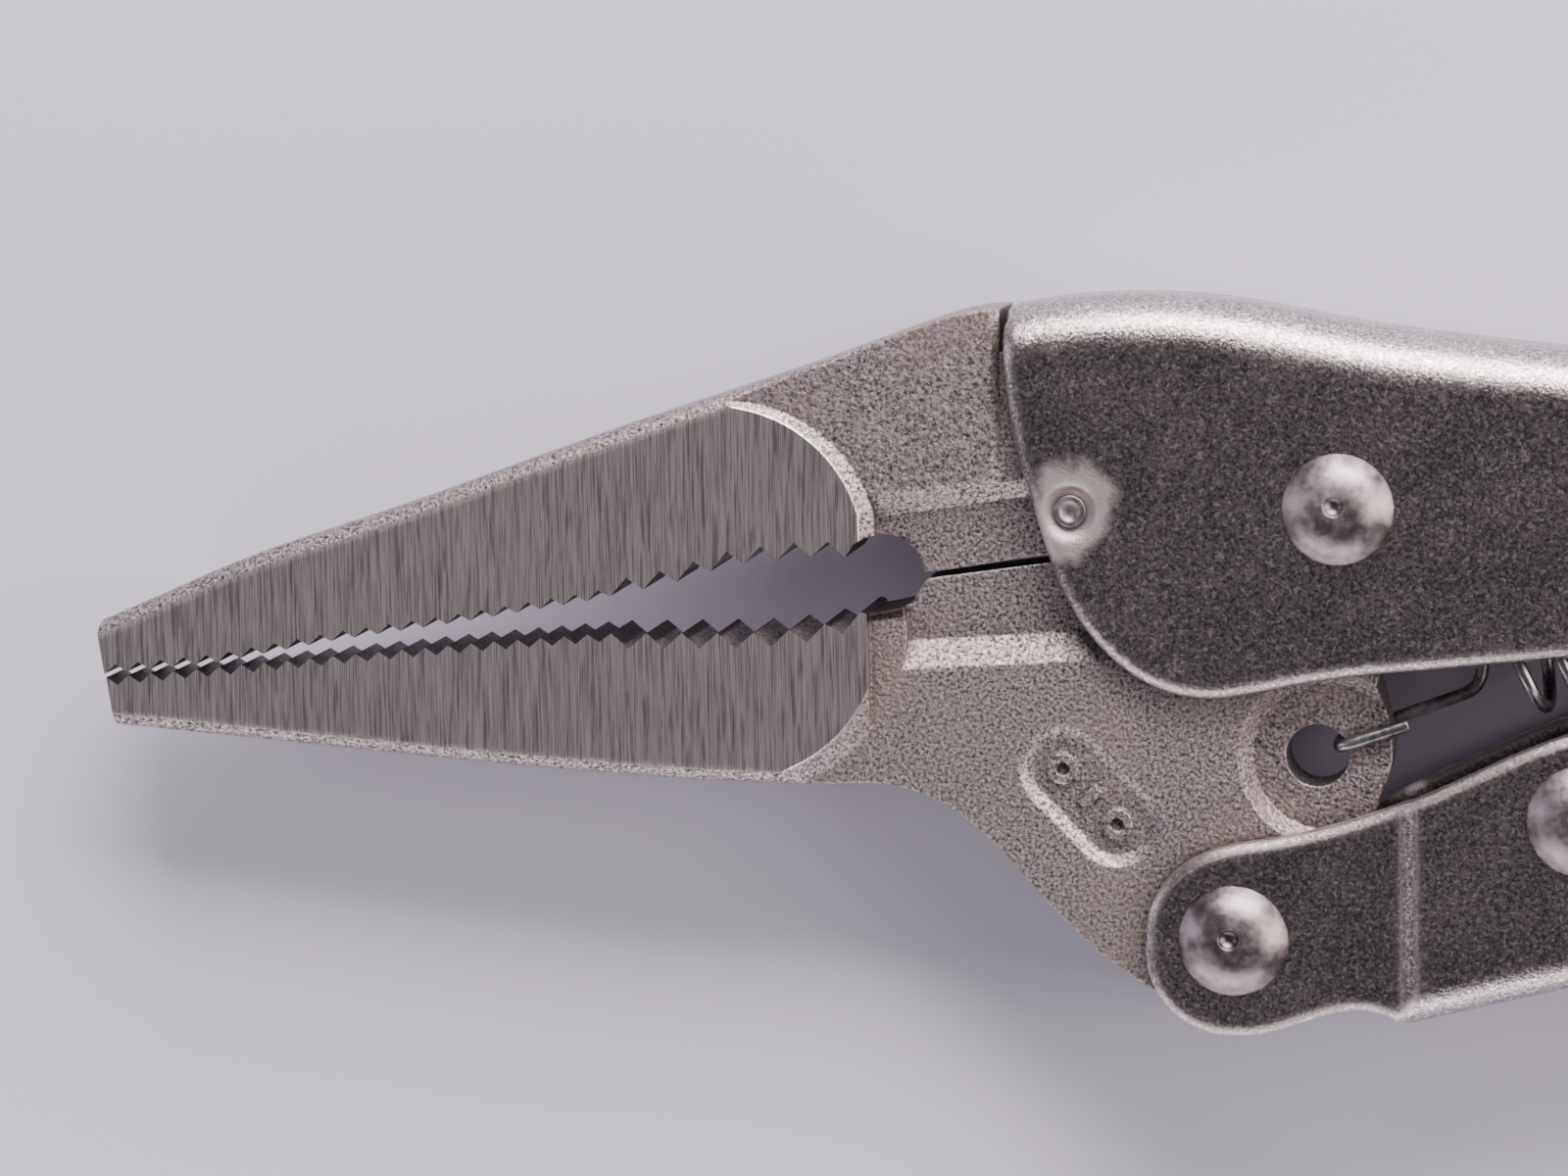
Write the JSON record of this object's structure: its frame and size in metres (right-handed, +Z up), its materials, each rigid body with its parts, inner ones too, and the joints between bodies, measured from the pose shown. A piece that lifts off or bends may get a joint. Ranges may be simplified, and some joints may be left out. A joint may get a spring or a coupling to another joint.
{
  "type": "locking pliers",
  "caption": "Long-nose locking pliers: serrated tapering jaws with a pipe grip and wire cutter, pressed channel handles, toggle link, release lever, return spring and adjusting screw.",
  "frame": {"origin": "middle of the underside of the bounding box, with the tool closed and lying on one cheek", "axes": "+X from the nose towards the thumb knob, +Y from the moving handle towards the fixed handle, +Z up, out of the upper cheek"},
  "size_m": [0.165, 0.0446, 0.0133],
  "materials": {
    "plated_sheet": "bright nickel plate, satin on rolled edges",
    "plated_forging": "nickel plate over blasted forging, ground nose faces",
    "rivet_steel": "polished plated domes",
    "link_steel": "plated pressed plate",
    "spring_steel": "drawn wire, lightly oiled",
    "turned_steel": "turned and plated, knurled knob"
  },
  "bodies": {
    "fixed_handle": {"fixed_handle": "plated_sheet", "fixed_jaw": "plated_forging", "jaw_stake_pin": "rivet_steel", "main_rivet": "rivet_steel", "tension_spring": "spring_steel"},
    "moving_jaw": {"moving_jaw": "plated_forging"},
    "moving_handle": {"moving_handle": "plated_sheet", "jaw_rivet": "rivet_steel", "link_rivet": "rivet_steel", "lever_rivet": "rivet_steel"},
    "toggle_link": {"toggle_link": "link_steel"},
    "release_lever": {"release_lever": "link_steel"},
    "adjusting_screw": {"adjusting_screw": "turned_steel"},
    "thumb_knob": {"thumb_knob": "turned_steel"}
  },
  "joints": [
    {"name": "jaw_pivot", "type": "hinge", "parent": "fixed_handle", "child": "moving_jaw", "pos_m": [-0.00498, 0.00963, 0.00663], "axis": [0, 0, 1], "range_deg": [0, 16], "deforming": ["tension_spring"]},
    {"name": "handle_pivot", "type": "hinge", "parent": "moving_jaw", "child": "moving_handle", "pos_m": [-0.01143, -0.01647, 0.00663], "axis": [0, 0, 1], "range_deg": [-53, 0]},
    {"name": "link_pivot", "type": "hinge", "parent": "moving_handle", "child": "toggle_link", "pos_m": [0.00942, -0.00892, 0.00663], "axis": [0, 0, 1], "range_deg": [0, 58.5]},
    {"name": "release_pivot", "type": "hinge", "parent": "moving_handle", "child": "release_lever", "pos_m": [0.04502, -0.00887, 0.00663], "axis": [0, 0, -1], "range_deg": [0, 7]},
    {"name": "screw_travel", "type": "slide", "parent": "fixed_handle", "child": "adjusting_screw", "axis": [0.9986, -0.0523, 0], "range_m": [0, 0.008]},
    {"name": "knob_turn", "type": "hinge", "parent": "adjusting_screw", "child": "thumb_knob", "pos_m": [0.05329, 0.00491, 0.00663], "axis": [0.9986, -0.0523, 0], "range_deg": [0, 2880]}
  ],
  "couplings": [
    {"joint": "handle_pivot", "follows": "jaw_pivot", "ratio": -3.3},
    {"joint": "link_pivot", "follows": "jaw_pivot", "ratio": 3.64},
    {"joint": "knob_turn", "follows": "screw_travel", "rad_per_m": 6283.2}
  ]
}
